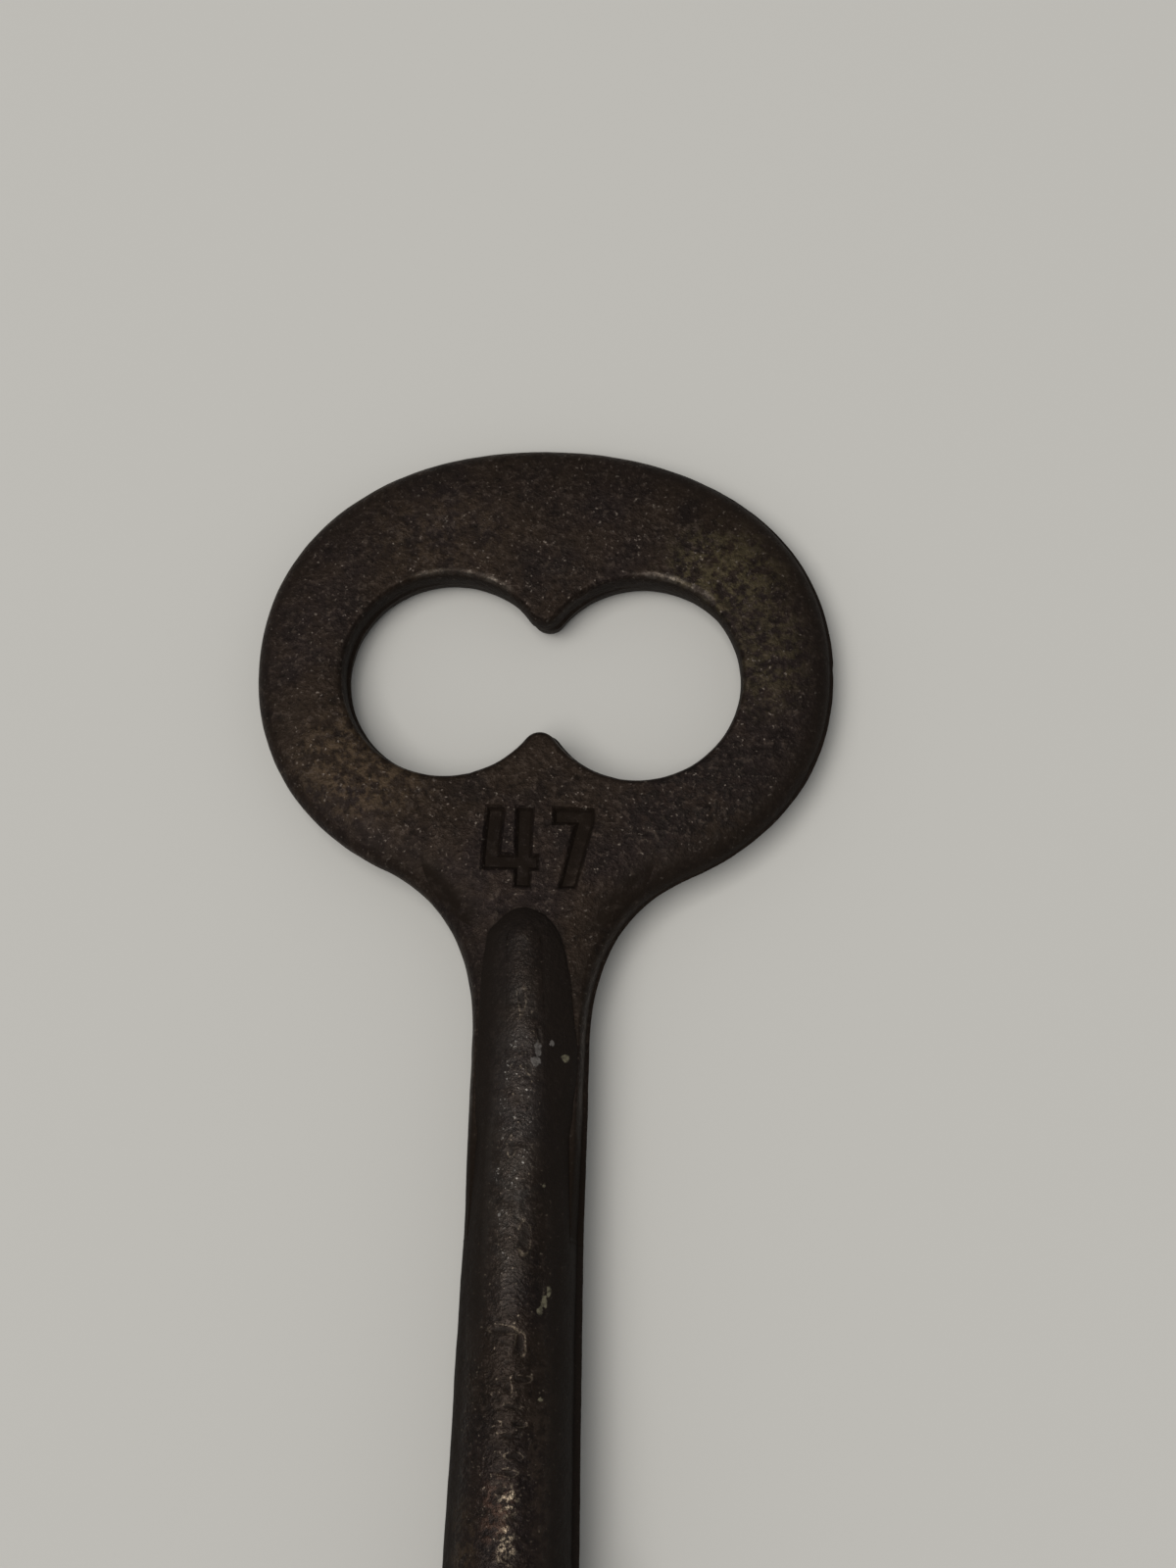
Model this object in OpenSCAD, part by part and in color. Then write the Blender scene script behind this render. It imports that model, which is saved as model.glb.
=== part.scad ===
// A bit key of the skeleton kind, lying flat: a pierced oval bow whose tang is let into
// a forked, tapering shank, with a collar, a warded bit and a pilot pin for the lock.
// The shank's axis is the Y axis and the bow is at its +Y end. The origin is where the
// pilot pin leaves the bit, and the front face of the bow looks along +Z.

/* [Bow] */
// Width of the bow across its oval
bow_w = 26.8; // [24:0.2:32]
// Height of the bow's oval from top to bottom, before the neck cuts it off
bow_h = 21.9; // [19:0.1:26]
// Fullness of the oval, where 2 is a plain ellipse
bow_fullness = 2.15; // [2:0.05:2.5]
// Thickness of the bow's plate and of the tang below it
bow_t = 2.3; // [1.8:0.1:3]
// How far the bow's outer edge is rounded in on each face
rim_round = 0.9; // [0.4:0.1:1.2]

/* [Eye] */
// Distance from the root of the pilot pin up to the centre of the eye
eye_y = 61.6; // [54:0.2:80]
// How far the centre of the eye lies below the centre of the oval
eye_drop = 0.4; // [0:0.1:1.2]
// Radius of each of the eye's two lobes
lobe_r = 4.7; // [4.5:0.1:5.2]
// Distance between the centres of the two lobes
lobe_pitch = 9; // [8:0.2:9.2]
// Radius of the two cusps that stand into the eye
cusp_r = 1; // [0.7:0.1:1.4]
// How far the eye's edge is rounded back on each face
eye_round = 0.45; // [0.2:0.05:0.6]

/* [Neck and tang] */
// How far below its widest line the oval runs out into the neck, as an angle
neck_angle = 60; // [54:1:64]
// Width of the tang, and of the neck where its sides run straight
tang_w = 5.4; // [4.8:0.1:6]
// Distance from the eye's centre down to where the neck's sides run straight
neck_drop = 16.8; // [15:0.2:19]
// Distance from the eye's centre down to the end of the tang
tang_drop = 25.8; // [22:0.2:32]
// How far the tang's edges are rounded in on each face
tang_round = 0.35; // [0.1:0.05:0.5]

/* [Shank] */
// Diameter of the shank's round nose, where its cheeks start on the bow
nose_d = 4; // [3.6:0.1:4.4]
// Distance from the eye's centre down to the centre of the nose
nose_drop = 12.6; // [11.8:0.1:14]
// Diameter of the shank's thick end, at the shoulder behind the collar
shoulder_d = 6.1; // [5.6:0.1:7.4]
// Distance from the root of the pilot pin up to the shoulder
shoulder_y = 19; // [16:0.5:24]
// Diameter of the barrel that carries the collar and the bit
barrel_d = 4.8; // [4.4:0.1:5.2]

/* [Collar] */
// Outside diameter of the collar
collar_d = 8.4; // [7.6:0.1:10]
// Width of the collar along the shank
collar_w = 2.6; // [2:0.1:3.4]

/* [Bit] */
// Length of the bit along the shank
bit_len = 9.6; // [8.4:0.2:11]
// Reach of the bit from the shank's axis to its working edge
bit_reach = 10.4; // [9.4:0.2:12]
// Thickness of the bit
bit_t = 2.2; // [1.8:0.1:2.8]
// Distance from the shank's axis to the bottom of the slot that holds the bit
bit_seat = 1.1; // [0.9:0.1:1.5]
// Distance from the shank's axis to the middle of the ward notches
ward_x = 5.6; // [4.8:0.1:6.4]
// Width of the ward notches
ward_w = 1.3; // [0.9:0.1:1.6]
// Depth of the ward notch on the side of the pilot pin
low_ward_h = 3.4; // [2:0.1:3.8]
// Depth of the ward notch on the side of the collar
high_ward_h = 2.6; // [1.6:0.1:3.4]
// Depth of the step that is filed into the working edge
step_x = 1.2; // [0.6:0.1:1.6]
// Width of that step along the shank
step_len = 2.4; // [1.6:0.1:3]
// Distance from the pilot pin's root to the near side of that step
step_y = 4.4; // [3.6:0.1:5]

/* [Pilot pin] */
// Diameter of the pilot pin
pin_d = 3.8; // [3:0.1:4.2]
// Length of the pilot pin's straight part
pin_len = 2.4; // [1.8:0.1:4]
// Length of its rounded tip
pin_tip = 0.8; // [0.4:0.1:1.4]

/* [Brazing] */
// Radius of the ball that would touch shank and bow along the edges of the neck's fillets
neck_fillet = 0.9; // [0.5:0.05:1.1]
// Radius of the ball that would touch barrel and bit along the edges of the bit's fillets
bit_fillet = 1.2; // [0.6:0.1:1.6]
// Radius of the hollow fillet between collar and barrel
collar_fillet = 0.8; // [0.4:0.05:1.2]

/* [Hidden] */
$fn = 96;
// Steps round the oval's half, along each flare of the neck, and over the rounded edges
oval_steps = 28;
flare_steps = 7;
rim_steps = 8;
eye_steps = 6;
// A slack length by which a cut runs past what it cuts
past = 1;

iron = [0.20, 0.17, 0.15];
iron_worn = [0.27, 0.23, 0.20];
braze_brown = [0.33, 0.26, 0.16];

oval_y = eye_y + eye_drop;
tang_y = eye_y - tang_drop;
nose_y = eye_y - nose_drop;
nose_r = nose_d / 2;
face_z = bow_t / 2;
lobe_x = lobe_pitch / 2;
barrel_r = barrel_d / 2;
collar_y = shoulder_y - collar_w;
bead_r = collar_w / 2;

// Outline of the bow and its tang, from the top round the right side to the tang's end.
// The oval is a superellipse. The flare is a curve that leaves the oval along its own
// direction and runs into the tang's side: its middle point lies where the two meet.
function power_of(v) = sign(v) * pow(abs(v), 2 / bow_fullness);
function oval_point(a) = [bow_w / 2 * power_of(cos(a)), oval_y + bow_h / 2 * power_of(sin(a))];
leave = oval_point(-neck_angle);
before = oval_point(1 - neck_angle);
leave_slope = (leave.y - before.y) / (leave.x - before.x);
turn = [tang_w / 2, leave.y + leave_slope * (tang_w / 2 - leave.x)];
arrive = [tang_w / 2, eye_y - neck_drop];
function flare_point(u) = pow(1 - u, 2) * leave + 2 * u * (1 - u) * turn + u * u * arrive;
right_side = [
    for (i = [0:oval_steps]) oval_point(90 - i * (90 + neck_angle) / oval_steps),
    for (i = [1:flare_steps]) flare_point(i / flare_steps),
    [tang_w / 2, tang_y + tang_round],
    [tang_w / 2, tang_y],
    [0, tang_y]
];
side_count = len(right_side);
outline = concat(right_side, [for (i = [side_count - 2:-1:1]) [-right_side[i].x, right_side[i].y]]);
count = len(outline);

// The eye is two round lobes, and each cusp a circle that touches both of them from outside.
// eye_point gives the edge of the eye on the line from its centre to an outline point.
cusp_y = sqrt(pow(lobe_r + cusp_r, 2) - pow(lobe_x, 2));
cusp_edge = atan2(cusp_y * lobe_r, lobe_x * cusp_r);
function lobe_reach(a) = lobe_x * abs(cos(a)) + sqrt(pow(lobe_r, 2) - pow(lobe_x * sin(a), 2));
function cusp_reach(a) = cusp_y * abs(sin(a)) - sqrt(pow(cusp_r, 2) - pow(cusp_y * cos(a), 2));
function steepness(a) = atan2(abs(sin(a)), abs(cos(a)));
function eye_reach(a) = steepness(a) > cusp_edge ? cusp_reach(a) : lobe_reach(a);
function eye_point(p) =
    let (a = atan2(p.y - eye_y, p.x))
    [eye_reach(a) * cos(a), eye_y + eye_reach(a) * sin(a)];
eye = [for (p = outline) eye_point(p)];

// The outward direction at one point of a closed clockwise loop
function outward(loop, i) =
    let (d = loop[(i + 1) % count] - loop[(i + count - 1) % count])
    [-d.y, d.x] / norm(d);

// How far each outline point is drawn in at the faces: fully on the oval, less down the
// neck, and not at all on the two corners and the end of the tang
function rounding(p) =
    p.y < tang_y + tang_round / 2 ? 0 :
    p.y < arrive.y ? tang_round :
    p.y < leave.y ? tang_round + (rim_round - tang_round) * (p.y - arrive.y) / (leave.y - arrive.y) :
    rim_round;

// One ring of points at an edge angle: 90 is the front face, 0 the middle, -90 the back face
function outer_ring(edge) = [
    for (i = [0:count - 1])
        let (q = outline[i] - outward(outline, i) * rounding(outline[i]) * (1 - cos(edge)))
        [q.x, q.y, face_z * sin(edge)]
];
function eye_ring(edge) = [
    for (i = [0:count - 1])
        let (q = eye[i] + outward(eye, i) * eye_round * (1 - cos(edge)))
        [q.x, q.y, face_z * sin(edge)]
];

module bow() {
    // Rings run from the front face over the outer edge to the back, and home through the eye
    rings = [
        for (k = [0:rim_steps]) outer_ring(90 - 180 * k / rim_steps),
        for (k = [0:eye_steps]) eye_ring(-90 + 180 * k / eye_steps)
    ];
    points = [for (ring = rings) each ring];
    rows = len(rings);
    faces = [
        for (k = [0:rows - 1])
            for (i = [0:count - 1])
                let (a = k * count + i, b = k * count + (i + 1) % count)
                let (c = (k + 1) % rows * count + (i + 1) % count, d = (k + 1) % rows * count + i)
                each [[a, d, b], [b, d, c]]
    ];
    color(iron) polyhedron(points = points, faces = faces, convexity = 6);
}

// Radius profile of the shank from its thick end to its nose, which is a ball
module shank_rod() {
    rotate([-90, 0, 0]) {
        rotate_extrude() polygon([
            [0, 0],
            [barrel_r, 0],
            [barrel_r, shoulder_y],
            [shoulder_d / 2, shoulder_y],
            [tang_w / 2, tang_y],
            [nose_r, nose_y],
            [0, nose_y]
        ]);
        translate([0, 0, nose_y]) sphere(nose_r);
    }
}

// The pilot pin is a straight pin with a tip drawn in by a cone and a small flat
module pilot_pin() {
    tip_r = pin_d / 2 - pin_tip * 0.8;
    rotate([90, 0, 0]) {
        cylinder(r = pin_d / 2, h = pin_len);
        translate([0, 0, pin_len]) cylinder(r1 = pin_d / 2, r2 = tip_r, h = pin_tip);
    }
}

module shank() {
    color(iron_worn) difference() {
        union() {
            shank_rod();
            pilot_pin();
        }
        // Fork that straddles the tang
        translate([-tang_w, tang_y, -face_z]) cube([tang_w * 2, eye_y - tang_y, bow_t]);
        // Slot that holds the root of the bit
        translate([bit_seat, 0, -bit_t / 2]) cube([barrel_r, bit_len, bit_t]);
    }
}

// A half-round bead with a bore that fits the barrel
module collar() {
    color(iron_worn) translate([0, collar_y, 0]) rotate([-90, 0, 0]) rotate_extrude() {
        translate([barrel_r, 0]) square([collar_d / 2 - bead_r - barrel_r, collar_w]);
        translate([collar_d / 2 - bead_r, bead_r]) intersection() {
            circle(bead_r);
            translate([0, -bead_r]) square([bead_r, collar_w]);
        }
    }
}

module bit() {
    color(iron) difference() {
        translate([bit_seat, 0, -bit_t / 2]) cube([bit_reach - bit_seat, bit_len, bit_t]);
        // Ward notches from both edges
        translate([ward_x - ward_w / 2, -past, -bit_t]) cube([ward_w, past + low_ward_h, bit_t * 2]);
        translate([ward_x - ward_w / 2, bit_len - high_ward_h, -bit_t])
            cube([ward_w, past + high_ward_h, bit_t * 2]);
        // Step in the working edge
        translate([bit_reach - step_x, step_y, -bit_t]) cube([step_x + past, step_len, bit_t * 2]);
    }
}

// Cross-section of a brazing fillet between a round bar and a flat face beside it. Its front
// runs straight between the points where a ball rolling along the two would touch them, and
// the section reaches in to the bar's axis, so that the bar is cut out of it afterwards
module fillet_section(bar_r, face, ball_r) {
    foot = sqrt(pow(bar_r + ball_r, 2) - pow(face + ball_r, 2));
    top = bar_r / (bar_r + ball_r) * [foot, face + ball_r];
    polygon([[0, face], [foot, face], top, [0, top.y]]);
}

// Brazing on one face of the neck: round the nose in an arc, then down both cheeks
// as far as the tang's flat face is wider than the shank lying on it
module neck_braze() {
    cheek_spread = atan((tang_w / 2 - nose_r) / (nose_y - tang_y));
    flat_x = tang_w / 2 - tang_round;
    leg = nose_y - tang_y;
    intersection() {
        difference() {
            translate([0, nose_y, 0]) {
                rotate([0, 0, cheek_spread]) rotate_extrude(angle = 180 - cheek_spread * 2)
                    fillet_section(nose_r, face_z, neck_fillet);
                for (side = [0, 1]) mirror([side, 0, 0]) rotate([0, 0, cheek_spread])
                    rotate([90, 0, 0]) linear_extrude(leg) fillet_section(nose_r, face_z, neck_fillet);
            }
            shank_rod();
        }
        union() {
            translate([-bow_w / 2, nose_y, 0]) cube([bow_w, nose_d, bow_t]);
            translate([-flat_x, tang_y, 0]) cube([flat_x * 2, leg, bow_t]);
        }
    }
}

module neck_braze_front() {
    color(braze_brown) neck_braze();
}

module neck_braze_back() {
    color(braze_brown) mirror([0, 0, 1]) neck_braze();
}

// Brazing along one face of the bit, where it leaves the barrel
module bit_braze() {
    difference() {
        translate([0, bit_len, 0]) rotate([90, 0, 0]) linear_extrude(bit_len)
            fillet_section(barrel_r, bit_t / 2, bit_fillet);
        shank_rod();
    }
}

module bit_braze_front() {
    color(braze_brown) bit_braze();
}

module bit_braze_back() {
    color(braze_brown) mirror([0, 0, 1]) bit_braze();
}

// Brazing between the collar's face and the barrel, on the bit's side
module collar_braze() {
    color(braze_brown) translate([0, collar_y, 0]) rotate([90, 0, 0]) rotate_extrude()
        translate([barrel_r, 0]) difference() {
            square(collar_fillet);
            translate([collar_fillet, collar_fillet]) circle(collar_fillet);
        }
}

bow();
shank();
collar();
bit();
neck_braze_front();
neck_braze_back();
bit_braze_front();
bit_braze_back();
collar_braze();
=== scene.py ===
# %% [markdown]
# # A skeleton key of browned iron
# The key lies flat: a pierced oval bow, a round shank, a collar and a bit. Its construction, with every
# size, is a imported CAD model. This lesson keeps that model as a fixed frame and builds the looks around it,
# in metres and in the same place: cast skin, worn edges, sunk numerals, brazing and patina.

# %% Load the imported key
import math
from functools import reduce
import bmesh
import bpy
import numpy as np
from mathutils import Matrix, Vector


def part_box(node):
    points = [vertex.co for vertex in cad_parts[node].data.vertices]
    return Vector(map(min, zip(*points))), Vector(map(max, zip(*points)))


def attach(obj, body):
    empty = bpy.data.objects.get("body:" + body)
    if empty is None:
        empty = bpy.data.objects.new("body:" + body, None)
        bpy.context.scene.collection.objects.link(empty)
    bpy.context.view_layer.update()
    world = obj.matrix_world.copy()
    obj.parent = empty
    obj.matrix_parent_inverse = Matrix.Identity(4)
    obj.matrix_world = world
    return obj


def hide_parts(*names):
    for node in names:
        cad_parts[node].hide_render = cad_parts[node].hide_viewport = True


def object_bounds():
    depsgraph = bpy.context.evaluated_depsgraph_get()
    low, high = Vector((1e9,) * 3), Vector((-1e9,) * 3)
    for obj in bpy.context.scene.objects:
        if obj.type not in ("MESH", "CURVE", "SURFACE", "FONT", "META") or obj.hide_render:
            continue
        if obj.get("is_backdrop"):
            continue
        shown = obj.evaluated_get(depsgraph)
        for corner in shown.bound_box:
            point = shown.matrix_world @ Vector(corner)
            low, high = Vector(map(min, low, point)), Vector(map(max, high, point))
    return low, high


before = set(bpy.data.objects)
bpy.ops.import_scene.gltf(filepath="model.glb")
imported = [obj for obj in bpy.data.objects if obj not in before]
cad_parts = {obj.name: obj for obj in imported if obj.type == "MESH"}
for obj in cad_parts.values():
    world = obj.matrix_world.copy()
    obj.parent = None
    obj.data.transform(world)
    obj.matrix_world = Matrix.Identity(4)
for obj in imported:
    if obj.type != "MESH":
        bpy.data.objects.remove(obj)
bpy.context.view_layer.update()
MM = 0.001


def corners_mm(node):
    """Lowest and highest corner of a CAD node, in millimetres."""
    low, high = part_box(node)
    return np.array(low) / MM, np.array(high) / MM


bow_low, bow_high = corners_mm("bow")
shank_low = corners_mm("shank")[0]
collar_low, collar_high = corners_mm("collar")
bit_low, bit_high = corners_mm("bit")
print("nodes:", sorted(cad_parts))
print("bow from", bow_low.round(2), "to", bow_high.round(2), "mm")

# %% [markdown]
# ## Sizes that the boxes don't tell
# The boxes of the CAD pieces give the widths, lengths and thicknesses. The curves inside them need a few
# more numbers, which are the CAD model's own: how full the oval is, where the eye's two lobes lie, and how
# the neck runs into the tang. They are typed once here, in millimetres, and every piece below is worked out
# from them.

# %% Name the sizes
half_w = bow_high[0]
top_y = bow_high[1]
face_z = bow_high[2]
tang_y = bow_low[1]
eye_y = 61.6
oval_y = 62.0
half_h = top_y - oval_y
fullness = 2.15
lobe_x = 4.5
lobe_r = 4.7
cusp_r = 1.0
eye_round = 0.45
rim_round = 0.9
neck_angle = 60
tang_half = 2.7
tang_round = 0.35
straight_y = 44.8
shoulder_y = collar_high[1]
barrel_r = 2.4
shoulder_r = 3.05
nose_y = 49.0
nose_r = 2.0
pin_r = 1.9
pin_len = 2.4
tip_r = 1.26
grid_step = 0.15
print("the oval is", round(2 * half_w, 1), "by", round(2 * half_h, 1), "mm")
print("its plate is", round(2 * face_z, 1), "mm thick")

# %% [markdown]
# ## Camera
# The key was photographed from above with the shank towards the viewer. A camera is a turn and a place.
# Here the turn is three small ones: the key's own turn on the table, a lean to the side and the pitch. The
# place follows from where the middle of the eye lies in the picture, and the lens from how large the key is
# there.

# %% Set the camera
picture_w, picture_h = 1200, 1600
focal_px = 3300
eye_px = (556, 690)
mm_per_px = 0.0455
pitch, lean, turn = 15, 2.5, -1.909
side_slip = 0.0106
eye_anchor = Vector((0, 61.9, 0))


def placed(name, data):
    """A new object that holds the data, linked into the scene."""
    thing = bpy.data.objects.new(name, data)
    bpy.context.scene.collection.objects.link(thing)
    return thing


key_turn = Matrix.Rotation(math.radians(turn), 3, "Z")
tipped = Matrix.Rotation(math.radians(-pitch), 3, "X")
to_camera = tipped @ Matrix.Rotation(math.radians(-lean), 3, "Y")
eye_in_view = Vector((
    (eye_px[0] - picture_w / 2) * mm_per_px,
    -(eye_px[1] - picture_h / 2) * mm_per_px,
    -focal_px * mm_per_px,
))
offset = eye_in_view + to_camera @ (Vector((side_slip, 0, 0)) - key_turn @ eye_anchor)
camera_axes = (to_camera @ key_turn).transposed()
camera_data = bpy.data.cameras.new("camera")
camera_data.lens = camera_data.sensor_width * focal_px / picture_h
camera_data.clip_start = 0.01
camera_data.clip_end = 20
camera = placed("camera", camera_data)
camera.matrix_world = Matrix.Translation(-(camera_axes @ offset) * MM) @ camera_axes.to_4x4()
bpy.context.scene.camera = camera
camera_at = [round(part / MM) for part in camera.matrix_world.translation]
print("lens", round(camera_data.lens, 1), "mm, camera at", camera_at)

# %% [markdown]
# ## Helpers for shapes
# Every piece below is one or more grids of points, worked out as whole arrays in millimetres. `evenly`
# spreads points along a path, `curve`, `arc` and `lathe` make the shapes that return, `grid_quads` joins
# the points of a grid into faces, and `sew` makes one closed mesh of several grids by merging the points
# that they share. `carve` cuts one mesh out of another.

# %% Work out points


def joined(*axes):
    """Points from one array for each coordinate, spread over the rows and columns of the others."""
    return np.stack(np.broadcast_arrays(*axes), axis=-1)


def evenly(path, step=grid_step):
    """The same path, with its points spread evenly along its length."""
    lengths = np.concatenate([[0], np.cumsum(np.linalg.norm(np.diff(path, axis=0), axis=1))])
    at = np.linspace(0, lengths[-1], max(2, int(round(lengths[-1] / step)) + 1))
    return joined(*[np.interp(at, lengths, column) for column in path.T])


def through(corners, step=grid_step):
    """A path straight from corner to corner, with points about a step apart and one on each corner."""
    corners = np.array(corners, float)
    legs = [evenly(corners[k:k + 2], step)[:-1] for k in range(len(corners) - 1)]
    return np.concatenate(legs + [corners[-1:]])


def curve(first, corner, last, count):
    """Points of a curve that leaves first towards corner and comes from corner to last: the three are
    blended with the weights (1 - u)^2, 2u (1 - u) and u^2."""
    u = np.linspace(0, 1, count)[:, None]
    return (1 - u) ** 2 * first + 2 * u * (1 - u) * corner + u ** 2 * last


def arc(x, y, radius, angle):
    """Points of a circle round (x, y): the radius times the cosine and the sine of each angle."""
    return joined(x + radius * np.cos(angle), y + radius * np.sin(angle))


def lathe(profile, angle):
    """A profile of (radius, height) points, turned round the Y axis through the angles."""
    r, y = profile[:, 0][:, None], profile[:, 1][:, None]
    return joined(r * np.cos(angle), y, r * np.sin(angle))


def right_of(way):
    """Unit vectors that point a quarter turn to the right of each direction."""
    way = way / np.linalg.norm(way, axis=1)[:, None]
    return joined(way[:, 1], -way[:, 0])


def outward(loop):
    """Unit normals of a closed loop that runs anticlockwise: each point's direction, turned right."""
    return right_of(np.roll(loop, -1, axis=0) - np.roll(loop, 1, axis=0))


def level(flat, height):
    """A flat array of points, raised to a height."""
    return joined(flat[..., 0], flat[..., 1], height)


# %% Make meshes of them


def grid_quads(rows, columns, ring):
    """Corner numbers of a grid's faces. A ring joins its last column to its first."""
    down = np.arange(rows - 1)[:, None]
    across = np.arange(columns if ring else columns - 1)[None, :]
    after = (across + 1) % columns
    low, high = down * columns, (down + 1) * columns
    return joined(low + across, low + after, high + after, high + across).reshape(-1, 4)


def mesh_piece(name, points, faces, weld=None):
    """One mesh object, in millimetres, with its faces turned outwards. Points that lie within the weld of
    each other are merged first, and faces that have closed up to nothing go."""
    mesh = bpy.data.meshes.new(name)
    mesh.from_pydata(points, [], faces)
    work = bmesh.new()
    work.from_mesh(mesh)
    if weld:
        bmesh.ops.remove_doubles(work, verts=work.verts, dist=weld)
        bmesh.ops.dissolve_degenerate(work, edges=work.edges, dist=weld / 10)
    bmesh.ops.recalc_face_normals(work, faces=work.faces)
    open_edges = sum(len(edge.link_faces) != 2 for edge in work.edges)
    work.to_mesh(mesh)
    work.free()
    print(name, len(mesh.polygons), "faces,", open_edges, "open edges")
    return placed(name, mesh)


def sew(name, grids, weld=0.0005):
    """One piece of (points, ring) grids, merged where they share points."""
    faces, start = [], 0
    for points, ring in grids:
        faces.append(grid_quads(*points.shape[:2], ring) + start)
        start += points.shape[0] * points.shape[1]
    everything = np.concatenate([points.reshape(-1, 3) for points, ring in grids])
    return mesh_piece(name, everything, np.concatenate(faces), weld)


def prism(name, rings):
    """A closed solid of outlines above each other, with a flat face on the first and on the last."""
    levels, corners = rings.shape[:2]
    ends = [list(range(corners)), list(range((levels - 1) * corners, levels * corners))]
    return mesh_piece(name, rings.reshape(-1, 3), grid_quads(levels, corners, True).tolist() + ends)


def block(name, low, high):
    """A plain box between two corners."""
    plan = np.array([(low[0], low[1]), (high[0], low[1]), (high[0], high[1]), (low[0], high[1])])
    return prism(name, np.stack([level(plan, low[2]), level(plan, high[2])]))


def carve(piece, cutter):
    """Takes the cutter out of the piece and deletes the cutter."""
    cut = piece.modifiers.new("carve", "BOOLEAN")
    cut.operation = "DIFFERENCE"
    cut.solver = "MANIFOLD"
    cut.object = cutter
    shown = piece.evaluated_get(bpy.context.evaluated_depsgraph_get())
    carved = bpy.data.meshes.new_from_object(shown)
    piece.modifiers.clear()
    piece.data = carved
    bpy.data.objects.remove(cutter)


# %% [markdown]
# ## Helpers for a cast and worn skin
# Sand leaves a casting slightly lumpy, with small pits, and a lifetime in pockets rounds that off. Both are
# worked out from the place of each point alone, so that grids that share an edge still meet there. `hills`
# is smooth random relief and `pits` are scattered round hollows. `sink_skin` moves the points in, never
# out, so that a piece stays inside the size it has in CAD.

# %% Make relief from noise


def scramble(corner, seed):
    """A number from 0 to 1 for each whole-number corner of a lattice: the coordinates are multiplied by
    large odd numbers, and the high bits are folded back on the low ones."""
    mixed = corner[..., 0] * 73856093 ^ corner[..., 1] * 19349663 ^ corner[..., 2] * 83492791 ^ seed * 40503
    mixed = ((mixed & 0xFFFFFFF) ^ (mixed >> 9 & 0xFFFFF)) * 1274126177
    mixed = ((mixed & 0xFFFFFFFFFF) >> 11) * 16807
    return (mixed & 0xFFFFFF) / 0xFFFFFF


def scatter(corner, seed):
    """Three such numbers for each corner, as a vector."""
    return joined(*[scramble(corner, seed + k) for k in range(3)])


def hills(points, size, seed):
    """Smooth relief from about -1 to 1. Every corner of a lattice of that size has a random slope, and a
    point blends the heights that its eight nearest slopes give it, by the curve 6t^5 - 15t^4 + 10t^3."""
    place = points / size
    corner = np.floor(place).astype(np.int64)
    inside = place - corner
    blend = inside ** 3 * (inside * (inside * 6 - 15) + 10)
    height = np.zeros(len(points))
    for step in np.ndindex(2, 2, 2):
        slope = scatter(corner + step, seed) * 2 - 1
        weight = np.where(step, blend, 1 - blend).prod(axis=-1)
        height += weight * ((inside - step) * slope).sum(axis=-1)
    return height * 1.7


def pits(points, spacing, radius, share, seed):
    """Round hollows, 0 on the open skin and 1 at the bottom. A share of the cells of a lattice has one pit
    each, at a random place in the cell, and a pit is deepest in its middle and runs out at its radius."""
    place = points / spacing
    corner = np.floor(place).astype(np.int64)
    depth = np.zeros(len(points))
    for step in np.ndindex(3, 3, 3):
        cell = corner + np.array(step) - 1
        reach = np.linalg.norm(place - (cell + scatter(cell, seed)), axis=-1) * spacing / radius
        reach /= 0.5 + 0.5 * scramble(cell, seed + 3)
        found = np.where(scramble(cell, seed + 4) < share, np.clip(1 - reach ** 2, 0, None) ** 1.5, 0)
        depth = np.maximum(depth, found)
    return depth


def points_of(piece):
    """The points of a piece, one row each."""
    points = np.empty(len(piece.data.vertices) * 3, np.float32)
    piece.data.vertices.foreach_get("co", points)
    return points.reshape(-1, 3).astype(float)


def sink_skin(piece, depth_at):
    """Moves each point of a piece in along its normal, by depth_at(points), in millimetres."""
    mesh, points = piece.data, points_of(piece)
    normals = np.empty(points.size, np.float32)
    mesh.vertex_normals.foreach_get("vector", normals)
    depth = np.clip(depth_at(points), 0, None)
    sunk = points - normals.reshape(-1, 3) * depth[:, None]
    mesh.vertices.foreach_set("co", sunk.astype(np.float32).ravel())
    mesh.update()
    mean, most = round(float(depth.mean()), 3), round(float(depth.max()), 3)
    print(piece.name, "skin sunk by", mean, "mm on average, at most", most)


def cast_skin(points):
    """Depth of a sand-cast skin: broad unevenness, lumps of the sand's size and a few pits."""
    broad = 0.026 * (1 + hills(points, 4.5, 11))
    lumps = 0.013 * (1 + hills(points, 1.1, 23))
    grain = 0.005 * (1 + hills(points, 0.47, 37))
    return broad + lumps + grain + 0.04 * pits(points, 1.1, 0.34, 0.22, 51)


# %% [markdown]
# ## Bow
# The bow is one flat casting: an oval ring round an eye of two lobes, with a neck that narrows to the tang.
# Seen from the side, its outer edge is a half-round, and the two halves of the mould didn't quite meet,
# which leaves a small step and a thin fin along the middle of the edge.
#
# A casting like this could be an extruded outline with a bevel, but then the lumps and pits would have no
# points to move. It is made of grids instead: the front of the ring, the front of the neck, the same two
# for the back, the outer edge and the wall of the eye. They share their border points, so they sew up into
# one closed skin.

# %% Trace the outline of the bow


def oval(angle):
    """Points of a superellipse: cosine and sine keep their sign and are raised to 2 / fullness."""
    across, up = np.cos(np.radians(angle)), np.sin(np.radians(angle))
    x, y = [np.sign(part) * np.abs(part) ** (2 / fullness) for part in (across, up)]
    return joined(half_w * x, oval_y + half_h * y)


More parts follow.
